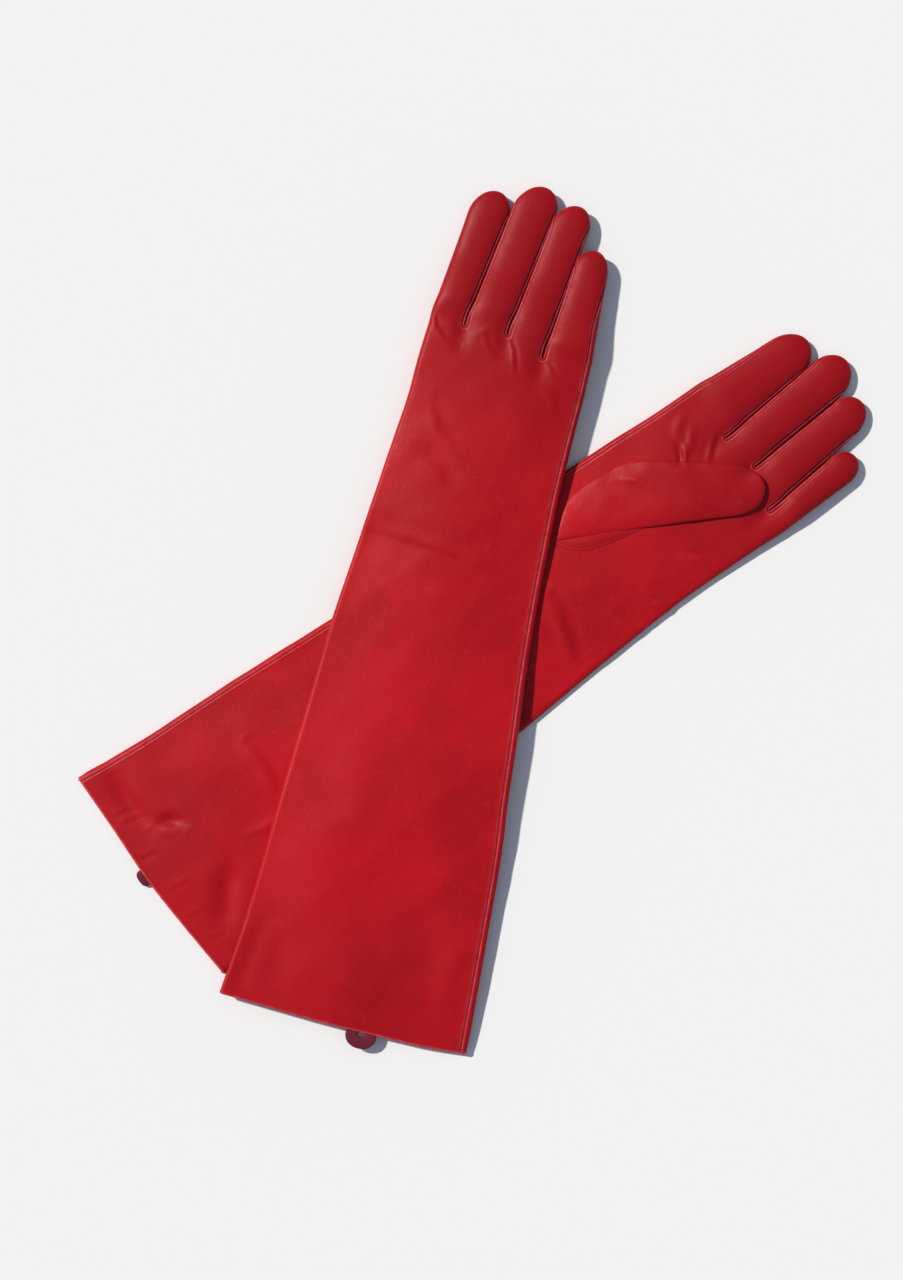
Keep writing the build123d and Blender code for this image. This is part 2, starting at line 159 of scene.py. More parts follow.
# ---------------------------------------------------------------- the two gloves
class Glove:
    """One glove, in its own axes: u along the arm from the cuff, y across it, z up."""

    def __init__(self, side, mirror, edges, webs, fingers, cuff, folds, thumb_shift=0.0):
        mount = MOUNTS[side + "_cuff"]
        along = -np.array(mount["axis"][:2])
        self.side = side
        self.mirror = mirror
        self.along = along / np.linalg.norm(along)
        self.across = mirror * np.array([self.along[1], -self.along[0]])
        self.origin = np.array(mount["pos_m"][:2]) / MM - self.across * mirror * edges["middle"]
        self.low, self.high = edges["low"], edges["high"]
        self.webs, self.fingers = webs, fingers
        self.root = np.mean([u for u, _ in webs])
        self.support = lambda u, y: np.zeros_like(u)
        self.seam_strength = 1.0 if side == "right" else 0.4
        self.cuff, self.folds, self.thumb_shift = cuff, folds, thumb_shift

    def plan(self, u, y):
        """Where (u, y) lies in the row frame, in millimetres. The cuff's edge isn't quite straight."""
        u = u + spline(self.cuff, y) * smooth(1 - u / 70)
        return (
            self.origin[0] + u * self.along[0] + y * self.across[0],
            self.origin[1] + u * self.along[1] + y * self.across[1],
        )

    def local(self, x, z):
        dx, dy = x - self.origin[0], z - self.origin[1]
        return dx * self.along[0] + dy * self.along[1], dx * self.across[0] + dy * self.across[1]

    def world(self, points):
        x, y = self.plan(points[..., 0], points[..., 1])
        return np.stack([x, y, points[..., 2]], axis=-1)

    def thumb_place(self, points):
        """Points of the thumb's pattern, drawn for the left hand, on this glove."""
        return points * [1, -self.mirror] + [self.thumb_shift, 0]

    def fold(self, u, side):
        """How far the rounded edge reaches inwards, at the low side (0) or the high side (1)."""
        return lerp(*self.folds[side], smooth((u - 300) / 90))

    def sides(self, u):
        """Both edges of the flat top of the sleeve and hand."""
        return spline(self.low, u) + self.fold(u, 0), spline(self.high, u) - self.fold(u, 1)

    def heights(self, u, y):
        """Top and underside of the sleeve and hand, before the small relief."""
        low, high = self.sides(u)
        share = np.clip((y - low) / (high - low), 0, 1)
        hand = smooth((u - 250) / 90)
        crown = lerp(SLEEVE_CROWN, HAND_CROWN, hand) * np.sin(math.pi * share) ** lerp(1.3, 0.8, hand)
        crown = crown * lerp(0.35, 1, smooth(u / 30))
        edge = lerp(3.4, EDGE_HEIGHT, smooth(u / 40)) + 0.5 * hand
        ahead = smooth((u - self.root + 62) / 60)
        edge, crown = edge + 2.1 * ahead, crown * (1 - 0.4 * ahead)
        for web_u, web_y in self.webs:
            near = smooth(1 - (web_u - u) / 20) * bump(y - web_y, 5.0)
            crown = crown - 1.5 * near
        base = self.support(u, y) + FLOOR_GAP
        under = base + 0.5 * (1 - np.sin(math.pi * share))
        return base + edge + crown, under


def finger(name, half_width, tip, tip_y):
    return {"name": name, "half": half_width, "tip": tip, "y": tip_y}


RIGHT = Glove(
    "right",
    1,
    {
        "middle": -2.5,
        "low": [(0, -74), (24, -71.5), (60, -68.8), (120, -65.5), (170, -62.6), (226, -59.6), (254, -56.8),
                (282, -54.1), (304, -51.8), (326, -49.6), (349, -47.3), (371, -46.6), (393, -45.1)],
        "high": [(0, 67.4), (25, 66.1), (70, 64), (114, 61.3), (142, 58.2), (170, 56.0), (226, 51.2),
                 (254, 49.6), (282, 48.5), (304, 47.7), (349, 47.9), (371, 48.5), (393, 48.4)],
    },
    [(393.2, -25.2), (393.2, -1.0), (385.2, 20.8)],
    [
        finger("index", 11.5, 472.3, -24.6),
        finger("middle", 12.5, 480.3, 0.2),
        finger("ring", 10.7, 474.0, 21.3),
        finger("little", 8.8, 451.8, 36.3),
    ],
    cuff=[(-75, 3.2), (-50, 1.8), (-25, 0.4), (0, -0.4), (20, -0.7), (42, -1.0), (60, -0.1), (70, 0.6)],
    folds=((2.2, 3.0), (3.6, 3.2)),
    thumb_shift=-8.0,
)
LEFT = Glove(
    "left",
    -1,
    {
        "middle": 0.5,
        "low": [(0, -65.6), (60, -62.6), (120, -60.5), (220, -55), (269, -52.1), (292, -51), (314, -49.9),
                (336, -49.6), (359, -50.4), (381, -51.3), (398, -52.5)],
        "high": [(0, 70.9), (24, 68.1), (46, 66.3), (68, 65.2), (91, 63.9), (135, 60.8), (220, 54.6),
                 (325, 47.0), (359, 45.0), (381, 43.4), (404, 42.6)],
    },
    [(398.5, -38.0), (406.5, -13.6), (403.0, 9.0)],
    [
        finger("little", 9.2, 456.6, -42.8),
        finger("ring", 10.6, 477.8, -20.9),
        finger("middle", 12.4, 484.5, 2.8),
        finger("index", 11.3, 473.7, 24.9),
    ],
    cuff=[(-66, 2.2), (-30, 0.2), (0, -0.8), (35, 0.6), (71, 1.6)],
    folds=((3.6, 3.4), (2.8, 2.4)),
)
GLOVES = (LEFT, RIGHT)


# ---------------------------------------------------------------- grids of one glove's surface
def seam_spread(count, share=0.7):
    """From 0 to 1, closer together at both ends."""
    t = np.linspace(0, 1, count)
    return lerp(t, (1 - np.cos(math.pi * t)) / 2, share)


def root_line(glove):
    """The hand's last line of points, low side to high: u, y and each finger's first and last column."""
    starts = [glove.sides(np.array(glove.webs[0][0] + CROTCH))[0]] + [y + CROTCH for _, y in glove.webs]
    ends = [y - CROTCH for _, y in glove.webs] + [glove.sides(np.array(glove.webs[2][0] + CROTCH))[1]]
    webs = [glove.webs[0]] + glove.webs + [glove.webs[2]]
    us, ys, spans = [], [], []
    for i in range(4):
        t = seam_spread(FINGER_COLUMNS)
        before = sum(map(len, us))
        spans.append((before, before + FINGER_COLUMNS - 1))
        us.append(lerp(webs[i][0], webs[i + 1][0], t) + CROTCH)
        ys.append(lerp(starts[i], ends[i], t))
        if i < 3:
            a = np.linspace(-math.pi / 2, math.pi / 2, GAP_COLUMNS)[1:-1]
            us.append(glove.webs[i][0] + CROTCH * (1 - np.cos(a)))
            ys.append(glove.webs[i][1] + CROTCH * np.sin(a))
    return np.concatenate(us), np.concatenate(ys), spans


def hand_rows(glove, step):
    """u of the even rows from the cuff, and the shares of the last rows that run up to the fingers."""
    last = min(u for u, _ in glove.webs) - 14
    hem = np.array([0, 0.5, 1.2, 2.2, 3.6, 5.2])
    sleeve = np.arange(7.5, 238, step)
    wrist = np.linspace(240, 340, int(100 / (step * 0.6)))
    hand = np.linspace(341, last, int((last - 341) / (step * 0.38)))
    return np.concatenate([hem, sleeve, wrist, hand]), seam_spread(int(16 / (step * 0.42)) + 2, 0.35)[1:]


def hand_grid(glove, step=SLEEVE_STEP):
    """(u, y) of the hand and sleeve panel: rows from the cuff to the fingers, columns low side to high."""
    root_u, root_y, _ = root_line(glove)
    even, shares = hand_rows(glove, step)
    last = even[-1]
    us = np.concatenate([np.repeat(even[:, None], len(root_u), axis=1),
                         last + shares[:, None] * (root_u - last)[None, :]])
    x = np.linspace(0, 1, len(root_u))
    plain = 1 - (1 - x) ** 1.25
    ends = glove.sides(root_u)
    root_share = (root_y - ends[0]) / (ends[1] - ends[0])
    mix = smooth((root_u.mean() - us) / 150)
    share = lerp(root_share[None, :], plain[None, :], mix)
    low, high = glove.sides(us)
    ys = low + (high - low) * share
    ys[-1] = root_y
    return us, ys


def wall_angles():
    return np.linspace(0, math.pi, WALL_COLUMNS)


def bulge(angle):
    """How far a wall between two fingers has come out of its seam line, from 0 to 1."""
    return np.sin(angle) ** 0.6


def between(top, under, angle):
    """Height on the rounded side between its top and its underside."""
    return (top + under) / 2 + (top - under) / 2 * np.cos(angle)


def finger_grids(glove, i, root_u, root_y, span, step):
    """Top, underside and both walls of finger i, as (rows, columns, 3) grids from its root to its tip."""
    f = glove.fingers[i]
    cols = slice(span[0], span[1] + 1)
    ru, ry = root_u[cols], root_y[cols]
    outer_low, outer_high = i == 0, i == 3
    low_inset = glove.fold(ru[0], 0) if outer_low else WALL_INSET
    high_inset = glove.fold(ru[-1], 1) if outer_high else WALL_INSET
    tip_length = 1.3 * f["half"]
    body = np.linspace(0, 1, int((f["tip"] - tip_length - ru.mean()) / step))
    round_off = np.sin(np.linspace(0, math.pi / 2, 13))[1:]
    straight = (f["tip"] - tip_length - ru.mean()) / (f["tip"] - ru.mean())
    tau = np.concatenate([body * straight, straight + (1 - straight) * round_off])[:, None]
    x = np.clip((tau - straight) / (1 - straight), 0, 1)
    slim = np.sqrt(np.clip(1 - x**2.1, 0, 1))
    flat = np.sqrt(np.clip(1 - x**2.6, 0, 1))

    low = lerp(ry[0] - low_inset, f["y"] - f["half"], tau)
    high = lerp(ry[-1] + high_inset, f["y"] + f["half"], tau)
    middle = (low + high) / 2
    half = (high - low) / 2 * slim
    centre_u = lerp(ru.mean(), f["tip"], tau)
    tall = lerp(FINGER_HALF_HEIGHT, FINGER_TIP_HALF_HEIGHT, tau)
    floor = glove.support(centre_u, middle) + FLOOR_GAP
    centre_z = floor + tall
    tall = tall * flat
    left = f["tip"] - centre_u

    def seam_angle(inset, fade):
        reach = np.clip(1 - inset / np.maximum((high - low) / 2, 1), 0.05, 0.98)
        return np.arccos(reach ** (SECTION_POWER / 2)) * lerp(SEAM_CLOSED, 1, smooth((left - 2) / fade))

    def section(angle):
        c, s = np.cos(angle), np.sin(angle)
        y = middle + half * np.sign(c) * np.abs(c) ** (2 / SECTION_POWER)
        return y, centre_z + tall * np.sign(s) * np.abs(s) ** (2 / SECTION_POWER)

    low_seam = math.pi - seam_angle(low_inset, 42 if outer_low else 15)
    high_seam = seam_angle(high_inset, 42 if outer_high else 15)
    blend = smooth((centre_u - ru.mean()) / 15)
    u = lerp(ru[None, :], f["tip"], tau)
    top_root, under_root = glove.heights(ru, ry)
    t = seam_spread(FINGER_COLUMNS, 0.0)[None, :]
    grids = {}
    for name, sign, root_z in (("top", 1, top_root), ("under", -1, under_root)):
        y, z = section(sign * lerp(low_seam, high_seam, t))
        grids[name] = np.stack([u, lerp(ry[None, :], y, blend), lerp(root_z[None, :], z, blend)], axis=-1)
    phi = wall_angles()[None, :]
    for name, seam, column, inset, sign, outer in (
        ("low_wall", low_seam, 0, low_inset, -1, outer_low),
        ("high_wall", high_seam, -1, high_inset, 1, outer_high),
    ):
        turned = 1 - 2 * phi / math.pi
        y, z = section(seam * turned if sign > 0 else math.pi - (math.pi - seam) * turned)
        ry_wall = ry[column] + sign * inset * (np.sin(phi) if outer else bulge(phi))
        rz_wall = between(top_root[column], under_root[column], phi)
        wall_u = np.repeat(u[:, column][:, None], phi.shape[1], axis=1)
        grids[name] = np.stack([wall_u, lerp(ry_wall, y, blend), lerp(rz_wall, z, blend)], axis=-1)
    return grids


def glove_grids(glove, step=SLEEVE_STEP, finger_step=FINGER_STEP):
    """Every grid of the glove's surface: (tag, points, flip)."""
    root_u, root_y, spans = root_line(glove)
    us, ys = hand_grid(glove, step)
    top, under = glove.heights(us, ys)
    grids = [("top", np.stack([us, ys, top], -1), False), ("under", np.stack([us, ys, under], -1), True)]
    phi = wall_angles()[None, :]
    for tag, column, sign in (("low_band", 0, -1), ("high_band", -1, 1)):
        u = np.repeat(us[:, column][:, None], phi.shape[1], axis=1)
        reach = np.repeat(glove.fold(us[:, column], max(sign, 0))[:, None], phi.shape[1], axis=1)
        y = ys[:, column][:, None] + sign * reach * np.sin(phi)
        z = between(top[:, column][:, None], under[:, column][:, None], phi)
        grids.append((tag, np.stack([u, y, z], -1), sign < 0))
    for i, f in enumerate(glove.fingers):
        parts = finger_grids(glove, i, root_u, root_y, spans[i], finger_step)
        for part, flip in (("top", False), ("under", True), ("low_wall", True), ("high_wall", False)):
            grids.append((f"{f['name']}_{part}", parts[part], flip))
    top_root, under_root = glove.heights(root_u, root_y)
    for j, (web_u, web_y) in enumerate(glove.webs):
        cols = slice(spans[j][1], spans[j + 1][0] + 1)
        a = np.linspace(-math.pi / 2, math.pi / 2, GAP_COLUMNS)[:, None]
        r = CROTCH * (1 - 0.96 * bulge(phi))
        u = web_u + CROTCH - r * np.cos(a)
        y = web_y + r * np.sin(a)
        z = between(top_root[cols][:, None], under_root[cols][:, None], phi)
        grids.append((f"crotch_{j}", np.stack([u, y, z], -1), True))
    return grids


# ---------------------------------------------------------------- meshes
def grid_faces(rows, columns, start, flip):
    index = np.arange(rows * columns).reshape(rows, columns) + start
    quads = np.stack([index[:-1, :-1], index[1:, :-1], index[1:, 1:], index[:-1, 1:]], -1).reshape(-1, 4)
    return quads[:, ::-1] if flip else quads


def vertex_normals(points, faces):
    a, b, c, d = (points[faces[:, k]] for k in range(4))
    n = np.cross(c - a, d - b)
    total = np.zeros_like(points)
    for k in range(4):
        np.add.at(total, faces[:, k], n)
    return total / np.maximum(np.linalg.norm(total, axis=1, keepdims=True), 1e-12)


class Surface:
    """All of a glove's grids as one welded mesh, so that shading runs on across the pieces' borders."""

    def __init__(self, glove, grids):
        points, faces, tags, start = [], [], [], 0
        for tag, grid, flip in grids:
            rows, columns = grid.shape[:2]
            quads = grid_faces(rows, columns, start, flip)
            points.append(grid.reshape(-1, 3))
            faces.append(quads)
            tags.extend([tag] * len(quads))
            start += rows * columns
        points, faces = np.concatenate(points), np.concatenate(faces)
        whole = np.round(points * 1e3 + 0.1237)  # micrometres, off the halves that could round either way
        _, first, same = np.unique(whole, axis=0, return_index=True, return_inverse=True)
        same = same.ravel()
        self.rest = points[first]
        faces = same[faces]
        corners = [len(set(face)) for face in faces.tolist()]
        keep = np.array(corners) >= 3
        self.faces, self.tags = faces[keep], np.array(tags)[keep]
        self.glove = glove
        if glove.mirror > 0:
            self.faces = self.faces[:, ::-1]
        self.points = glove.world(self.rest)
        self.normals = vertex_normals(self.points, self.faces)

    def turn_over(self):
        self.faces, self.normals = self.faces[:, ::-1], -self.normals

    def displace(self, heights):
        self.points = self.points + self.normals * heights[:, None]
        self.points[:, 2] = np.maximum(self.points[:, 2], 0.05)
        self.normals = vertex_normals(self.points, self.faces)


def seam_distance(glove, rest, normals):
    """How far each point of the hand and fingers lies from the nearest seam, in millimetres."""
    u, y = rest[:, 0], rest[:, 1]
    low, high = glove.sides(u)
    on_top = normals[:, 2] > 0
    distance = np.where(on_top, np.abs(high - y), np.abs(y - low))
    # the cuff's edge is put RIM from a seam, so the leather paints its highlight line there
    distance = np.minimum(distance, np.abs(u) + RIM)
    for web_u, web_y in glove.webs:
        centre = web_u + CROTCH
        ahead = np.where(u < centre, np.abs(np.hypot(u - centre, y - web_y) - CROTCH), 99)
        distance = np.minimum(distance, ahead)
    return distance


def make_mesh(name, points, faces, fields, material, normals=None):
    """A smooth-shaded object from points in millimetres. Faces may have two corners in the same place."""
    mesh = bpy.data.meshes.new(name)
    polygons = [[v for k, v in enumerate(face) if v != face[k - 1]] for face in faces]
    mesh.from_pydata((points * MM).tolist(), [], polygons)
    for key, values in fields.items():
        kind, member = ("FLOAT_VECTOR", "vector") if values.ndim == 2 else ("FLOAT", "value")
        layer = mesh.attributes.new(key, kind, "POINT")
        layer.data.foreach_set(member, values.astype(np.float32).ravel())
    mesh.polygons.foreach_set("use_smooth", [True] * len(mesh.polygons))
    mesh.update()
    if normals:
        corner_vertex = np.zeros(len(mesh.loops), np.int32)
        mesh.loops.foreach_get("vertex_index", corner_vertex)
        mesh.normals_split_custom_set(normals(corner_vertex))
    mesh.materials.append(material)
    piece = bpy.data.objects.new(name, mesh)
    bpy.context.scene.collection.objects.link(piece)
    return piece


def shell(name, surface, wanted, material, thickness=LEATHER, outset=0.0, seam=None):
    """A closed thin piece cut from the surface: its outer skin, an inner skin and the rim between them."""
    chosen = np.isin(surface.tags, wanted)
    faces = surface.faces[chosen]
    used, local = np.unique(faces, return_inverse=True)
    faces = local.reshape(faces.shape)
    normals = surface.normals[used]
    outer = surface.points[used] + normals * outset
    inner = outer - normals * thickness
    count = len(used)
    edges = np.concatenate([faces[:, [k, (k + 1) % 4]] for k in range(4)])
    edges = edges[edges[:, 0] != edges[:, 1]]
    there = set(map(tuple, edges.tolist()))
    rim = np.array([(b, a, a + count, b + count) for a, b in there if (b, a) not in there])
    back = faces[:, ::-1] + count
    all_faces = np.concatenate([faces, back, rim.reshape(-1, 4)])
    rest = surface.rest[used]
    fields = {
        "rest": np.concatenate([rest, rest - [0, 0, 2.0]]),
        # seam: distance to the nearest seam, which places the painted shade in the grooves and the painted
        # highlight lines beside them
        "seam": np.tile(np.full(count, FAR) if seam is None else seam[used], 2),
        # fold: how steeply the surface stands, which places the painted highlight on fold edges
        "fold": np.tile(1 - np.abs(normals[:, 2]), 2),
    }
    points = np.concatenate([outer, inner])

    def corner_normals(corner_vertex):
        both = np.concatenate([normals, -normals])
        out = both[corner_vertex]
        rims = len(rim) * 4
        if rims:
            q = points[rim]
            flat = np.cross(q[:, 2] - q[:, 0], q[:, 3] - q[:, 1])
            flat /= np.maximum(np.linalg.norm(flat, axis=1, keepdims=True), 1e-12)
            out[-rims:] = np.repeat(flat, 4, axis=0)
        return out

    return make_mesh(name, points, all_faces.tolist(), fields, material, corner_normals)


# ---------------------------------------------------------------- materials
def nodes_of(name):
    material = bpy.data.materials.new(name)
    material.use_nodes = True
    tree = material.node_tree
    tree.nodes.clear()
    out = tree.nodes.new("ShaderNodeOutputMaterial")
    shader = tree.nodes.new("ShaderNodeBsdfPrincipled")
    tree.links.new(shader.outputs["BSDF"], out.inputs["Surface"])
    return material, tree, shader


def attribute(tree, name):
    node = tree.nodes.new("ShaderNodeAttribute")
    node.attribute_name = name
    return node


def noise(tree, coordinates, scale, detail=3.0, roughness=0.55, distortion=0.0):
    node = tree.nodes.new("ShaderNodeTexNoise")
    node.inputs["Scale"].default_value = scale
    node.inputs["Detail"].default_value = detail
    node.inputs["Roughness"].default_value = roughness
    node.inputs["Distortion"].default_value = distortion
    tree.links.new(coordinates, node.inputs["Vector"])
    return node.outputs["Fac"]


def ramp(tree, value, low, high, to_low=0.0, to_high=1.0):
    node = tree.nodes.new("ShaderNodeMapRange")
    node.interpolation_type = "SMOOTHSTEP"
    tree.links.new(value, node.inputs["Value"])
    for key, number in zip(("From Min", "From Max", "To Min", "To Max"), (low, high, to_low, to_high)):
        node.inputs[key].default_value = number
    return node.outputs["Result"]


def mix(tree, share, first, second):
    """Mixes two colours, each a tuple or a socket."""
    node = tree.nodes.new("ShaderNodeMix")
    node.data_type = "RGBA"
    tree.links.new(share, node.inputs[0])
    for socket, colour in ((node.inputs[6], first), (node.inputs[7], second)):
        if isinstance(colour, tuple):
            socket.default_value = (*colour, 1)
        else:
            tree.links.new(colour, socket)
    return node.outputs[2]


def times(tree, first, second):
    node = tree.nodes.new("ShaderNodeMath")
    node.operation = "MULTIPLY"
    for socket, value in zip(node.inputs, (first, second)):
        if isinstance(value, float):
            socket.default_value = value
        else:
            tree.links.new(value, socket)
    return node.outputs[0]


def bumped(tree, height, strength, distance, normal=None):
    node = tree.nodes.new("ShaderNodeBump")
    node.inputs["Strength"].default_value = strength
    node.inputs["Distance"].default_value = distance * MM
    tree.links.new(height, node.inputs["Height"])
    if normal is not None:
        tree.links.new(normal, node.inputs["Normal"])
    return node.outputs["Normal"]


DARKER_ENDS = (0.25, 0.0015, 0.005)  # the leather's darkest red, towards the fingers and at the cuff
SEAM_HIGHLIGHT = (0.66, 0.10, 0.12)  # painted highlight: the light line beside a seam, where the seam's ridge catches the light
EDGE_HIGHLIGHT = (0.62, 0.07, 0.09)  # painted highlight along the steep edge of a fold


def leather(name, base, dark, light, roughness=(0.44, 0.54), coat=0.10, edge_highlight_amount=0.5, seam_highlight_amount=0.62):
    """Dyed nappa: uneven dye, darker towards the fingers and at the cuff, pebbled grain, painted shade and
    dirt in the seam grooves, and painted highlights beside the seams and on steep fold edges.
    """
    material, tree, shader = nodes_of(name)
    rest = attribute(tree, "rest").outputs["Vector"]
    seam = attribute(tree, "seam").outputs["Fac"]
    clouds = noise(tree, rest, 0.017, 3.0, 0.6)
    mottle = noise(tree, rest, 0.35, 4.0, 0.65)
    colour = mix(tree, ramp(tree, clouds, 0.36, 0.66), dark, base)
    colour = mix(tree, ramp(tree, mottle, 0.50, 0.75, 0.0, 0.55), colour, light)
    along = tree.nodes.new("ShaderNodeSeparateXYZ")
    tree.links.new(rest, along.inputs[0])
    # darker towards the fingers and at the cuff
    colour = mix(tree, ramp(tree, along.outputs["X"], 300, 430, 0.0, 0.70), colour, DARKER_ENDS)
    colour = mix(tree, ramp(tree, along.outputs["X"], 10, 110, 0.25, 0.0), colour, DARKER_ENDS)
    # noise patches that break up the painted highlights
    highlight_patches = ramp(tree, noise(tree, rest, 0.25, 2.0), 0.3, 0.7, 0.35, 1.0)
    # painted highlight: a light line from 0.35 to 1.3 mm beside each seam
    highlight_line = times(tree, times(tree, ramp(tree, seam, 0.35, 0.7), ramp(tree, seam, 0.8, 1.3, 1.0, 0.0)), highlight_patches)
    colour = mix(tree, times(tree, highlight_line, seam_highlight_amount), colour, SEAM_HIGHLIGHT)
    # painted highlight on steep surfaces, such as the rounded edges of the folds
    edge_highlight_mask = ramp(tree, attribute(tree, "fold").outputs["Fac"], 0.55, 0.95, 0.0, edge_highlight_amount)
    colour = mix(tree, times(tree, edge_highlight_mask, highlight_patches), colour, EDGE_HIGHLIGHT)
    # painted shade in the seam grooves, within half a millimetre of a seam, and dirt there
    colour = mix(tree, ramp(tree, seam, 0.05, 0.5, 0.60, 0.0), colour, tuple(0.25 * c for c in base))
    grain = tree.nodes.new("ShaderNodeTexVoronoi")
    grain.feature = "SMOOTH_F1"
    grain.inputs["Scale"].default_value = 1.25
    grain.inputs["Smoothness"].default_value = 0.6
    tree.links.new(rest, grain.inputs["Vector"])
    wrinkles = noise(tree, rest, 0.16, 5.0, 0.62, 1.4)
    normal = bumped(tree, grain.outputs["Distance"], 0.28, 0.16)
    normal = bumped(tree, noise(tree, rest, 2.6, 3.0), 0.34, 0.10, normal)
    normal = bumped(tree, wrinkles, 0.20, 0.6, normal)
    tree.links.new(normal, shader.inputs["Normal"])
    tree.links.new(colour, shader.inputs["Base Color"])
    tree.links.new(ramp(tree, mottle, 0.3, 0.75, roughness[1], roughness[0]), shader.inputs["Roughness"])
    shader.inputs["Specular IOR Level"].default_value = 0.13
    shader.inputs["Coat Weight"].default_value = coat
    shader.inputs["Coat Roughness"].default_value = 0.42
    return material


def woven(name, base, dark, pitch, roughness, sheen):
    """A fine woven cloth: threads both ways, each thread lit along its crown."""
    material, tree, shader = nodes_of(name)
    rest = attribute(tree, "rest").outputs["Vector"]
    warp, weft = tree.nodes.new("ShaderNodeTexWave"), tree.nodes.new("ShaderNodeTexWave")
    for wave, axis in ((warp, "X"), (weft, "Y")):
        wave.bands_direction = axis
        wave.inputs["Scale"].default_value = 0.314 / pitch
        wave.inputs["Distortion"].default_value = 0.4
        tree.links.new(rest, wave.inputs["Vector"])
    threads = tree.nodes.new("ShaderNodeMath")
    threads.operation = "MAXIMUM"
    tree.links.new(warp.outputs["Fac"], threads.inputs[0])
    tree.links.new(weft.outputs["Fac"], threads.inputs[1])
    colour = mix(tree, ramp(tree, threads.outputs[0], 0.2, 0.95), dark, base)
    colour = mix(tree, ramp(tree, noise(tree, rest, 0.08), 0.4, 0.7, 0.0, 0.4), colour, dark)
    normal = bumped(tree, threads.outputs[0], 0.35, 0.10)
    normal = bumped(tree, noise(tree, rest, 0.12, 3.0), 0.3, 0.8, normal)
    tree.links.new(normal, shader.inputs["Normal"])
    tree.links.new(colour, shader.inputs["Base Color"])
    crown = ramp(tree, threads.outputs[0], 0, 1, roughness + 0.1, roughness)
    tree.links.new(crown, shader.inputs["Roughness"])
    shader.inputs["Sheen Weight"].default_value = sheen
    shader.inputs["Sheen Roughness"].default_value = 0.4
    shader.inputs["Specular IOR Level"].default_value = 0.25
    return material


def make_materials():
    red, deep, rosy = (0.475, 0.0028, 0.0091), (0.385, 0.0019, 0.0065), (0.53, 0.0086, 0.0172)
    return {
        "leather": leather("nappa_red", red, deep, rosy),
        "gusset": leather("nappa_gusset", (0.40, 0.0030, 0.0080), deep, rosy, seam_highlight_amount=0.12),
        # the fourchettes, in the gaps between the fingers, take a darker copy of the leather: painted shade;
        # steep as they are, they get no painted edge highlight
        "fourchette": leather(
            "nappa_fourchette", (0.37, 0.0028, 0.0075), (0.32, 0.002, 0.006), red, coat=0.06, edge_highlight_amount=0.0
        ),
        "hem": leather("nappa_hem", (0.39, 0.0030, 0.0080), deep, red, roughness=(0.5, 0.62), coat=0.06),
        "lining": woven("satin_lining", (0.22, 0.010, 0.018), (0.13, 0.005, 0.010), 0.35, 0.38, 0.25),
        "tape": woven("grosgrain_tape", (0.17, 0.009, 0.021), (0.08, 0.004, 0.010), 0.5, 0.55, 0.03),
        "thread": woven("sewing_thread", (0.26, 0.006, 0.011), (0.14, 0.004, 0.007), 0.3, 0.5, 0.2),
    }


MATERIALS = make_materials()


# ---------------------------------------------------------------- relief of each glove
# Each crease: the points of its furrow, depth, width, and its ridge's height, offset and spread.
LEFT_CREASES = [
    ([(17, 64), (15, 44), (17, 24)], 1.9, 4.6),
    ([(24, 25), (29, 21), (33, 16)], 2.2, 3.0, 0.5, -5.0, 3.0),
    ([(42, -18), (30, -30), (18, -44)], 2.4, 6.5),
    *(
        ([(u - 4, y + 2), (u, y), (u + 5, y - 1)], 0.30, 1.1, 0.28, 2.2, 1.3)
        for u, y in ((8, 40), (11, 33), (7, 12), (12, -12), (8, -30), (10, -47))
    ),
    ([(91, 30), (92, 14), (89, -2)], 0.5, 3.0, 1.1, -4.0, 2.8),
    ([(58, -10), (68, -13), (80, -14)], 0.0, 3.0, 0.5, 0.0, 2.4),
    ([(277, -8), (274, -22), (268, -44)], 0.7, 4.5, 1.1, -6.5, 3.6),
    ([(299, -34), (302, -41), (305, -48)], 0.5, 3.2, 0.8, -3.8, 2.3),
    ([(319, -38), (323, -43), (326, -49)], 0.4, 2.6, 0.8, -3.4, 2.0),
    ([(350, -30), (355, -36), (358, -44)], 0.4, 2.8, 0.7, -3.0, 2.0),
    ([(374, 11), (378, 16), (381, 22)], 1.1, 1.5, 0.8, -2.6, 1.5),
    ([(381, 15), (387, 19), (393, 25)], 0.0, 2.0, 0.95, 0.0, 1.8),
    ([(382, 26), (388, 31), (393, 33)], 0.0, 2.0, 0.7, 0.0, 2.2),
    ([(390, 2), (396, 8), (401, 12)], 0.4, 1.6, 0.8, 2.4, 1.6),
]
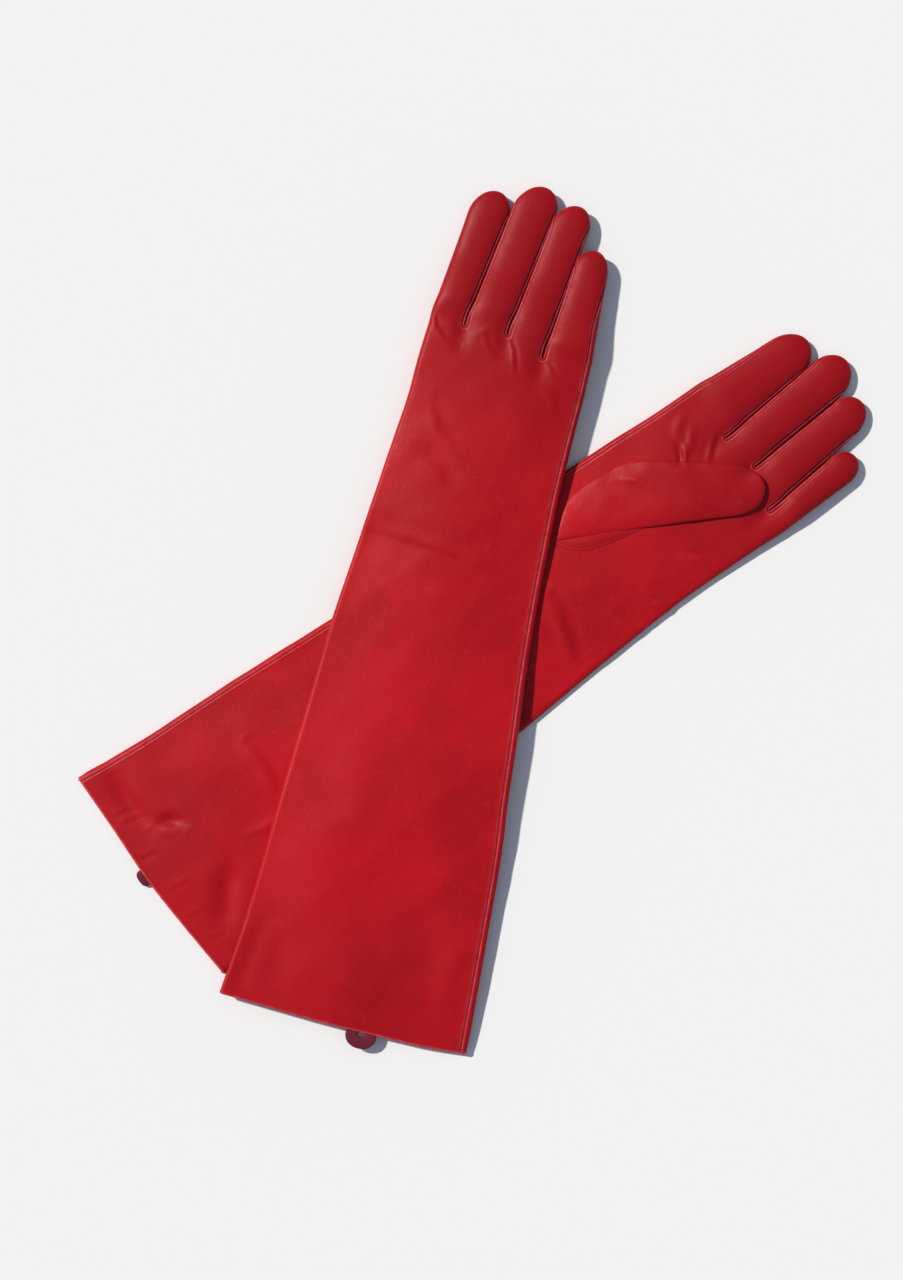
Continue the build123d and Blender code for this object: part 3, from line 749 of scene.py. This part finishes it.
RIGHT_CREASES = [
    ([(271, -50), (269, -33), (267.5, -8), (264, 10), (260.5, 27)], 0.55, 2.4, 0.35, -5.0, 3.6),
    ([(399, -43), (391, -39), (386, -33), (383, -25)], 0.75, 1.3, 0.45, 2.0, 1.3),
    ([(393, -12), (387, -9), (383, -3)], 0.5, 1.4, 0.5, 1.9, 1.3),
    ([(391, -17), (396, -12), (397, -8)], 0.0, 1.4, 0.5, 0.0, 1.6),
    ([(393, 2), (387, 5.6), (374, 9.5)], 0.6, 1.1, 0.45, 1.7, 1.0),
    ([(386, 23), (384, 27), (379, 30)], 0.5, 1.2, 0.3, 1.7, 1.2),
    ([(370, 25), (365, 31), (358, 34)], 0.0, 3.0, 0.4, 0.0, 2.6),
    ([(322, -32), (318, -20), (309, -10)], 0.6, 5.0, 0.4, 7.0, 4.0),
    ([(350, -30), (338, -24), (330, -12)], 0.3, 4.0, 0.3, 5.0, 3.0),
    ([(50, -58), (26, -62), (4, -65)], 0.9, 5.0),
    ([(46, -50), (27, -48), (9, -44)], 1.2, 10.0),
    ([(120, 30), (92, 8), (70, -22)], 0.9, 16.0),
    ([(150, -30), (118, -22), (92, -40)], 0.0, 12.0, 0.9, 0.0, 13.0),
    ([(60, 50), (40, 47), (22, 50)], 0.0, 6.0, 0.9, 0.0, 7.0),
]


def relief(creases, calm, swelling, seeds, lengths, fine):
    """The creases on a glove's upper face, over waves that grow towards the cuff."""

    def height(u, y):
        h = (calm + swelling * smooth((250 - u) / 80)) * waves(u, y, seeds, lengths[0])
        h += fine * waves(u, y, seeds + 1, lengths[1])
        for points, *shape in creases:
            h += crease(u, y, points, *shape)
        return h

    return height


# The left glove shows its palm, with y positive towards the thumb; the right one shows its back,
# with y positive towards the little finger.
LEFT.relief = relief(LEFT_CREASES, 0.2, 0.3, 11, (75, 21), 0.09)
RIGHT.relief = relief(RIGHT_CREASES, 0.17, 0.5, 21, (95, 24), 0.07)


# ---------------------------------------------------------------- how the right glove lies
def outline(glove):
    """The glove's outline in the row frame, without the thumb."""
    u = np.linspace(0, glove.root + 40, 60)
    low = np.stack(glove.plan(u, spline(glove.low, u)), -1)
    high = np.stack(glove.plan(u, spline(glove.high, u)), -1)
    return np.concatenate([low, high[::-1]])


def outside(points, polygon):
    """Distance from each point to the polygon, 0 inside it."""
    a, b = polygon, np.roll(polygon, -1, axis=0)
    flat = points.reshape(-1, 2)
    best = np.full(len(flat), 1e9)
    inside = np.zeros(len(flat), bool)
    for (ax, ay), (bx, by) in zip(a, b):
        d = np.array([bx - ax, by - ay])
        t = np.clip(((flat - [ax, ay]) @ d) / max(d @ d, 1e-9), 0, 1)
        best = np.minimum(best, np.hypot(*(flat - [ax, ay] - t[:, None] * d).T))
        crosses = (ay > flat[:, 1]) != (by > flat[:, 1])
        with np.errstate(divide="ignore", invalid="ignore"):
            inside ^= crosses & (flat[:, 0] < (bx - ax) * (flat[:, 1] - ay) / (by - ay) + ax)
    return np.where(inside, 0, best).reshape(points.shape[:-1])


# What the right thumb sweeps as it swings, in the glove's own u and y.
THUMB_SWEEP = np.array(
    [(288, -52), (330, -75), (405, -60), (404, 8), (394, 31), (376, 28), (330, 10), (288, -8)], float
)
LEFT_OUTLINE = outline(LEFT)


def right_support(u, y):
    """How high the right glove's underside lies: over the left glove and its own thumb, lower beside them."""
    here = np.stack(RIGHT.plan(u, y), -1)
    over_left = OVERLAP_LIFT * np.clip(1 - outside(here, LEFT_OUTLINE) / DRAPE, 0, 1) ** 1.15
    over_thumb = THUMB_LIFT * (1 - smooth(outside(np.stack([u, y], -1), THUMB_SWEEP) / THUMB_DRAPE))
    return (over_left**4 + over_thumb**4) ** 0.25


RIGHT.support = right_support


# ---------------------------------------------------------------- leather pieces of one glove
def place(piece, glove, body, slot, *replaced):
    """Hides the CAD nodes that the piece replaces and, unless it bends, ties it to its body. The slot is not
    used.
    """
    if replaced:
        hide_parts(*(f"{glove.side}_{name}" for name in replaced))
    if body:
        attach(piece, f"{glove.side}_{body}")
    return piece


def fold_blend(piece):
    """Bakes the piece's placement into its points."""
    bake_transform(piece)
    return piece


def carve(surface, glove):
    """Seam grooves, creases and the uneven lie of the leather."""
    rest, normals = surface.rest, surface.normals
    owner = np.full(len(rest), -1)  # which finger each point belongs to
    for tag in np.unique(surface.tags):
        members = np.unique(surface.faces[surface.tags == tag])
        for k, name in enumerate(FINGERS):
            if tag.startswith(name):
                owner[members] = k
    is_finger = owner >= 0
    seam = np.where(is_finger, FAR, seam_distance(glove, rest, normals))
    for f in glove.fingers:
        part = {
            name: np.unique(surface.faces[surface.tags == f["name"] + name])
            for name in ("_top", "_under", "_low_wall", "_high_wall")
        }
        walls = np.union1d(part["_low_wall"], part["_high_wall"])
        faces = np.union1d(part["_top"], part["_under"])
        at_tip = np.intersect1d(part["_top"], part["_under"])
        border = np.union1d(np.intersect1d(faces, walls), at_tip)
        members = np.union1d(faces, walls)
        line = surface.points[border]
        from_middle = rest[border, 1] - np.median(rest[members, 1])
        for end, sign in ((0, -1), (-1, 1)):
            if glove.fingers[end] is f:  # a panel wraps round this side, so there is no seam on its face
                line = line[~((sign * from_middle > 0) & (sign * normals[border, 2] < 0))]
        gap = np.linalg.norm(surface.points[members][:, None] - line[None], axis=2)
        seam[members] = np.minimum(seam[members], gap.min(axis=1))
    top = smooth(normals[:, 2] * 2.5)
    relief = glove.relief(rest[:, 0], rest[:, 1]) * smooth(rest[:, 0] / 6) * top
    relief *= 1 - 0.6 * smooth((rest[:, 0] - glove.root) / 10)
    pucker = 0.05 * np.sin(rest[:, 0] * math.tau / 3.1) * bump(seam - 1.4, 1.2)
    groove = -0.60 * bump(seam, 0.42) + 0.22 * bump(seam - 0.95, 0.45)
    strength = np.where(is_finger, 1.0, glove.seam_strength)
    for f in glove.fingers:
        near_tip = lerp(0.35, 1, smooth((f["tip"] - 5 - rest[:, 0]) / 16))
        strength = np.where(owner == FINGERS.index(f["name"]), near_tip, strength)
    surface.displace(relief + (groove + pucker) * strength)
    return seam


def build_leather(glove):
    surface = Surface(glove, glove_grids(glove))
    seam = carve(surface, glove)
    upper, lower = ("back", "palm") if glove.side == "right" else ("palm", "back")
    red = MATERIALS["leather"]
    first, last = glove.fingers[0]["name"], glove.fingers[-1]["name"]
    piece = shell(f"{glove.side}_{upper}_leather", surface, ["top", "low_band"], red, seam=seam)
    place(piece, glove, "glove", "leather", f"{upper}_panel")
    piece = shell(f"{glove.side}_{lower}_leather", surface, ["under", "high_band"], red, seam=seam)
    place(piece, glove, "glove", "leather", f"{lower}_panel")
    for f in glove.fingers:
        name = f["name"]
        top_tags = [name + "_top"] + ([name + "_low_wall"] if name == first else [])
        under_tags = [name + "_under"] + ([name + "_high_wall"] if name == last else [])
        piece = shell(f"{glove.side}_{name}_{upper}", surface, top_tags, red, seam=seam)
        fold_blend(place(piece, glove, None, "leather", f"{name}_stall"))
        piece = shell(f"{glove.side}_{name}_{lower}", surface, under_tags, red, seam=seam)
        fold_blend(place(piece, glove, None, "leather"))
        walls = [name + "_low_wall"] * (name != first) + [name + "_high_wall"] * (name != last)
        piece = shell(f"{glove.side}_{name}_fourchettes", surface, walls, MATERIALS["fourchette"], seam=seam)
        fold_blend(place(piece, glove, None, "fourchette_leather", f"{name}_fourchette"))
    for j, (a, b) in enumerate(zip(glove.fingers, glove.fingers[1:])):
        pair = sorted([a["name"], b["name"]], key=FINGERS.index)
        name = f"{glove.side}_{pair[0]}_{pair[1]}_quirk"
        piece = shell(name, surface, [f"crotch_{j}"], MATERIALS["gusset"], seam=seam)
        place(piece, glove, "glove", "gusset_leather", f"{pair[0]}_{pair[1]}_crotch")


def build_lining(glove):
    """The loose lining, a coarser copy of the whole glove inside the leather."""
    surface = Surface(glove, glove_grids(glove, *LINING_STEPS))
    u, y = surface.rest[:, 0], surface.rest[:, 1]
    surface.displace(glove.relief(u, y) * smooth(u / 6) * smooth(surface.normals[:, 2] * 2.5))
    tags = set(surface.tags.tolist())
    fingers = {t for t in tags if t.startswith(FINGERS)}
    satin = (MATERIALS["lining"], LINING, -(LEATHER + LINING_GAP))
    piece = shell(f"{glove.side}_lining_sleeve", surface, sorted(tags - fingers), *satin)
    place(piece, glove, "glove", "lining", "lining")
    for f in glove.fingers:
        mine = sorted(t for t in fingers if t.startswith(f["name"]))
        piece = shell(f"{glove.side}_{f['name']}_lining_tube", surface, mine, *satin)
        fold_blend(place(piece, glove, None, "lining", f"{f['name']}_lining"))


# ---------------------------------------------------------------- hem, loop
def sleeve_ring(glove, u, inset):
    """A closed ring of points round the sleeve at u, `inset` inside the leather's outer face."""
    low, high = glove.sides(np.array(u))
    share = np.linspace(0, 1, 70)
    y = lerp(low, high, share)
    flat = np.full_like(y, u)
    top, under = glove.heights(flat, y)
    top = top + glove.relief(flat, y) * smooth(u / 6)
    phi = wall_angles()[1:-1]
    high_y = high + glove.fold(np.array(u), 1) * np.sin(phi)
    low_y = low - glove.fold(np.array(u), 0) * np.sin(phi)
    high_z, low_z = between(top[-1], under[-1], phi), between(top[0], under[0], phi)
    ring = np.stack([np.concatenate([y, high_y, y[::-1], low_y[::-1]]),
                     np.concatenate([top, high_z, under[::-1], low_z[::-1]])], -1)
    along = np.roll(ring, -1, axis=0) - np.roll(ring, 1, axis=0)
    normal = np.stack([-along[:, 1], along[:, 0]], -1)
    ring = ring - inset * normal / np.linalg.norm(normal, axis=1, keepdims=True)
    return np.concatenate([np.full((len(ring), 1), u), ring], axis=1)


def build_hem(glove):
    """The leather turned in at the cuff: a rounded edge and a facing inside it."""
    radius = LEATHER + 0.05
    rows = []
    for angle in np.linspace(0, math.pi, 9):
        row = sleeve_ring(glove, 0.0, radius * (1 - math.cos(angle)))
        row[:, 0] -= radius * math.sin(angle)
        rows.append(row)
    for depth in (2.5, 5.0, 8.0, 11.5, HEM_DEPTH):
        rows.append(sleeve_ring(glove, depth, 2 * radius))
    grid = np.stack(rows)
    grid = np.concatenate([grid, grid[:, :1]], axis=1)
    hem = Surface(glove, [("hem", grid, True)])
    inwards = hem.points[:, :2] @ glove.along
    edge = inwards < inwards.min() + 0.3
    if np.mean(hem.normals[edge][:, :2] @ glove.along) > 0:
        hem.turn_over()
    # the hem's outer edge is put RIM from a seam, so it gets the painted highlight line
    highlight_line = np.where(hem.rest[:, 0] < RIM, RIM, FAR)
    name = glove.side + "_turned_hem"
    piece = shell(name, hem, ["hem"], MATERIALS["hem"], LEATHER * 0.9, seam=highlight_line)
    place(piece, glove, "glove", "hem_leather", "hem")


def ribbon(name, path, width, thickness, material):
    """A tape lying flat along a path, rounded at its edges."""
    path = np.array(path)
    tangent = np.gradient(path, axis=0)
    tangent /= np.linalg.norm(tangent, axis=1, keepdims=True)
    side = np.cross([0, 0, 1.0], tangent)
    side /= np.linalg.norm(side, axis=1, keepdims=True)
    up = np.cross(tangent, side)
    angles = np.linspace(0, math.tau, 17)[:-1]
    rings = []
    for a in angles:
        c, s = math.cos(a), math.sin(a)
        w = math.copysign(abs(c) ** 0.5, c) * width / 2
        t = math.copysign(abs(s) ** 0.8, s) * thickness / 2
        rings.append(path + side * w + up * t)
    grid = np.stack(rings, 1)
    rows, columns = grid.shape[:2]
    index = np.arange(rows * columns).reshape(rows, columns)
    nxt = np.roll(index, -1, axis=1)
    faces = np.stack([index[:-1], nxt[:-1], nxt[1:], index[1:]], -1).reshape(-1, 4).tolist()
    points = grid.reshape(-1, 3)
    caps = [index[0].tolist(), index[-1][::-1].tolist()]
    steps = np.linalg.norm(np.diff(path, axis=0), axis=1)
    length = np.repeat(np.concatenate([[0], np.cumsum(steps)]), columns)
    flat = np.stack([length, np.tile(np.cos(angles) * width / 2, rows), points[:, 2]], -1)
    fields = {"rest": flat, "seam": np.full(len(points), FAR)}
    return make_mesh(name, points, faces + caps, fields, material)


LOOPS = {"left": (4.9, 5.7, 4.4), "right": (8.75, 10.6, 7.1)}  # half width, reach, width of the tape
LOOP_SEWN = 12.0  # length of each end inside the hem
TAPE = 1.0  # its thickness


def build_loop(glove):
    """The hanging loop: a tape bent round outside the cuff, its two ends sewn inside the hem."""
    hinge = np.array(JOINTS[glove.side + "_loop_flip"]["pos_m"]) / MM
    half, reach, width = LOOPS[glove.side]
    half, reach = half - width / 2, reach - width / 2
    turn, middle = glove.local(hinge[0], hinge[1])
    bow = spline(glove.cuff, np.array(middle))

    def at(depth, y):
        """A point of the tape: level with its hinge outside the cuff, and along the hem inside it."""
        under = glove.heights(np.array([max(depth, 0.0)]), np.array([middle]))[1][0]
        z = lerp(hinge[2], under + 2 * LEATHER + 0.35 + TAPE / 2, smooth(depth / 6))
        return [*glove.plan(depth - bow, middle + y), z]

    ends = np.linspace(turn + 0.9, LOOP_SEWN, 10)
    angles = np.linspace(0, math.pi, 29)
    bend = [(turn - (reach + turn) * math.sin(a) ** 0.75, half * math.cos(a)) for a in angles]
    route = [(u, half) for u in ends[::-1]] + bend + [(u, -half) for u in ends]
    path = [at(*point) for point in route]
    tape = ribbon(glove.side + "_loop_tape", path, width, TAPE, MATERIALS["tape"])
    place(tape, glove, None, "loop_tape", "hang_loop", "loop_anchor")
    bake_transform(tape)


# ---------------------------------------------------------------- thumb
# Both sides of the thumb's pattern on the left glove, from its base to its tip.
UPPER_SIDE = [(297, 22), (303, 27.5), (312, 33), (324, 34.6), (338, 33.2), (350, 31.6), (358, 27.4),
              (374, 14.8), (392, 0.8), (401, -7.5), (406, -15), (407, -22)]
LOWER_SIDE = [(293, 18.5), (299, 15.6), (307, 11.6), (319, 5.4), (341, -6), (362, -17.5), (376, -25.3),
              (387, -31), (394, -32.4), (400, -31), (405, -27), (407, -22)]
THUMB_BENDS = ((306.0, 22.0), (338.0, 4.0))  # where the thumb bends with the hand (the first) and turns freely (the second); here they are only turned into world points, which nothing uses


def resample(points, count):
    """Evenly spaced points of a smooth curve through the given ones."""
    points = np.array(points, float)
    along = np.concatenate([[0], np.cumsum(np.linalg.norm(np.diff(points, axis=0), axis=1))])
    t = seam_spread(count, 0.25) * along[-1]
    return np.stack([spline(list(zip(along, points[:, k])), t) for k in (0, 1)], -1)


def thumb_surface(glove, floor, height):
    """The flattened thumb: a pillow between its two sides, from its base to its tip."""
    upper, lower = (glove.thumb_place(resample(side, 74)) for side in (UPPER_SIDE, LOWER_SIDE))
    phi = np.linspace(0, math.tau, 65)[:-1]
    width = np.linalg.norm(upper - lower, axis=1)
    middle, half = (upper + lower) / 2, (upper - lower) / 2
    c, s = np.cos(phi), np.sin(phi)
    across = np.sign(c) * np.abs(c) ** 0.62
    plan = middle[:, None] + half[:, None] * across[None, :, None]
    tall = height / 2 * np.sqrt(np.clip(1 - (1 - np.clip(width / 15, 0, 1)) ** 2, 0, 1))
    swell = np.sign(s) * np.abs(s) ** 0.75
    base = floor(plan[..., 0], plan[..., 1])
    z = base + height / 2 + 0.1 + tall[:, None] * swell[None]
    grid = np.concatenate([plan, z[..., None]], -1)
    ring = np.concatenate([grid, grid[:, :1]], axis=1)
    return Surface(glove, [("thumb", ring, glove is LEFT)])


def on_palm(u, y):
    """What the left thumb lies on: sunk into the palm at its base, on top of it further on."""
    top = LEFT.heights(u, y)[0] + LEFT.relief(u, y)
    free = smooth((u - 300) / 70) * (1 - 0.5 * smooth((y - 18) / 12) * smooth((370 - u) / 26))
    return top - 3.4 + 3.0 * free


def on_floor(u, y):
    return np.full_like(u, FLOOR_GAP)


def build_thumb(glove):
    surface = thumb_surface(glove, *((on_palm, 4.2) if glove is LEFT else (on_floor, 5.6)))
    rest, normals = surface.rest, surface.normals
    top = smooth(normals[:, 2] * 2.5)
    v = rest[:, 1] * -glove.mirror
    u = rest[:, 0] - glove.thumb_shift
    h = 0.22 * waves(u, v, 31, 30) + 0.08 * waves(u, v, 32, 11)
    h += crease(u, v, [(341, 24), (347, 18), (351, 11)], 0.5, 2.2, 1.2, 3.0, 1.9)
    h += crease(u, v, [(385, -14), (388, -19), (389, -25)], 1.0, 0.9, 0.8, 1.4, 0.9)
    h += crease(u, v, [(318, 8), (330, 12), (342, 10)], 0.4, 5.0)
    at_side = np.abs(normals[:, 2]) < 0.8
    seam = np.where(at_side, np.abs(rest[:, 2] - rest[:, 2].mean()) + 0.2, FAR)
    surface.displace(h * top - 0.25 * bump(seam, 0.5))
    outer = shell(glove.side + "_thumb_leather", surface, ["thumb"], MATERIALS["leather"], seam=seam)
    name, inset = glove.side + "_thumb_lining_tube", -(LEATHER + LINING_GAP)
    inner = shell(name, surface, ["thumb"], MATERIALS["lining"], LINING, inset)
    start, end = (
        np.array([*glove.plan(*glove.thumb_place(np.array(point))), 0]) * MM for point in THUMB_BENDS
    )
    for piece, slot, node in ((outer, "leather", "thumb"), (inner, "lining", "thumb_lining")):
        place(piece, glove, None, slot, node)
        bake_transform(piece)


GUSSET = [(293, 17.5), (297, 11), (303, 5.6), (313, 1.4), (328, -2.4), (338, -4.5)]


def build_gusset(glove):
    """The lens of leather beside the thumb's base."""
    curve = glove.thumb_place(resample(GUSSET, 90))
    straight = glove.thumb_place(np.linspace([293, 19], [340, -4.0], 90))
    t = np.linspace(0, 1, 28)[None, :, None] ** 1.5
    plan = lerp(curve[:, None], straight[:, None], t)
    top, under = glove.heights(plan[..., 0], plan[..., 1])
    relief = glove.relief(plan[..., 0], plan[..., 1])
    swell = np.sin(math.pi * np.linspace(0, 1, 90))[:, None] * np.sin(math.pi * t[..., 0] / 1.6)
    z = top + relief + 0.1 + 0.9 * swell if glove is LEFT else under - 0.1 - 0.9 * swell
    surface = Surface(glove, [("gusset", np.concatenate([plan, z[..., None]], -1), glove is LEFT)])
    if (surface.normals[:, 2].mean() > 0) != (glove is LEFT):
        surface.turn_over()
    from_seam, _ = to_polyline(surface.rest[:, 0], surface.rest[:, 1], curve)
    name = glove.side + "_thumb_quirk"
    piece = shell(name, surface, ["gusset"], MATERIALS["gusset"], seam=np.abs(from_seam))
    place(piece, glove, "glove", "gusset_leather", "thumb_gusset")


# ---------------------------------------------------------------- thread along the side seams
STITCH = 2.2  # length of one stitch


def build_seams(glove):
    """The stitched ridge in the top side seam, one stitch after another."""
    u = np.arange(0.6, glove.root - 2, 0.55)
    _, high = glove.sides(u)
    top, _ = glove.heights(u, high)
    z = top + glove.relief(u, high) * smooth(u / 6) - 0.62
    angle = np.linspace(0, math.tau, 7)[:-1]
    radius = (0.30 + 0.16 * np.abs(np.sin(u * math.pi / STITCH)))[:, None]
    x = np.repeat(u[:, None], len(angle), axis=1)
    y = high[:, None] + radius * np.cos(angle)
    grid = np.stack([x, y, z[:, None] + radius * np.sin(angle)], -1)
    grid = np.concatenate([grid, grid[:, :1]], axis=1)
    seam = Surface(glove, [("seam", grid, False)])
    if np.mean(np.sum(seam.normals * (seam.points - seam.points.mean(axis=0)), axis=1)) < 0:
        seam.turn_over()
    piece = shell(glove.side + "_side_seam_thread", seam, ["seam"], MATERIALS["thread"], 0.15)
    place(piece, glove, "glove", "seam", "side_seams")


# ---------------------------------------------------------------- floor, light and camera
FLOOR_HALF = 6.0  # metres, as are the camera's place and height
TOWARDS_SUN = (-0.86, 0.51, 1.05)
EYE_OFFSET, EYE_HEIGHT = (-0.0125, -0.0106), 1.69
LENS, SENSOR = 85, 36


def build_stage():
    """A pale floor, a low soft sun and an even bluish light from the sky."""
    mesh = bpy.data.meshes.new("studio_floor")
    corners = [(x * FLOOR_HALF, y * FLOOR_HALF, 0) for x, y in ((-1, -1), (1, -1), (1, 1), (-1, 1))]
    mesh.from_pydata(corners, [], [(0, 1, 2, 3)])
    floor = bpy.data.objects.new("studio_floor", mesh)
    bpy.context.scene.collection.objects.link(floor)
    material, _, shader = nodes_of("pale_paper")
    shader.inputs["Base Color"].default_value = (0.85, 0.84, 0.835, 1)
    shader.inputs["Roughness"].default_value = 0.9
    shader.inputs["Specular IOR Level"].default_value = 0.1
    mesh.materials.append(material)

    sun = bpy.data.lights.new("key_sun", "SUN")
    sun.energy, sun.angle, sun.color = 3.55, math.radians(3.0), (1.0, 0.956, 0.885)
    lamp = bpy.data.objects.new("key_sun", sun)
    lamp.rotation_mode = "QUATERNION"
    lamp.rotation_quaternion = Vector(TOWARDS_SUN).to_track_quat("Z", "Y")
    bpy.context.scene.collection.objects.link(lamp)

    world = bpy.data.worlds.new("soft_studio")
    world.use_nodes = True
    background = world.node_tree.nodes["Background"]
    background.inputs["Color"].default_value = (0.64, 0.78, 1.0, 1)
    background.inputs["Strength"].default_value = 0.36
    bpy.context.scene.world = world
    bpy.context.scene.view_settings.view_transform = "Standard"


def build_camera():
    """The camera looks straight down."""
    low, high = CAD_BOX
    centre = (low + high) / 2
    camera = bpy.data.cameras.new("camera")
    camera.lens, camera.sensor_width = LENS, SENSOR
    camera.clip_end = 20
    eye = bpy.data.objects.new("camera", camera)
    eye.location = (centre.x + EYE_OFFSET[0], centre.y + EYE_OFFSET[1], EYE_HEIGHT)
    bpy.context.scene.collection.objects.link(eye)
    bpy.context.scene.camera = eye


build_camera()
build_stage()
for glove in GLOVES:
    build_leather(glove)
    build_lining(glove)
    build_hem(glove)
    build_loop(glove)
    build_thumb(glove)
    build_gusset(glove)
    build_seams(glove)
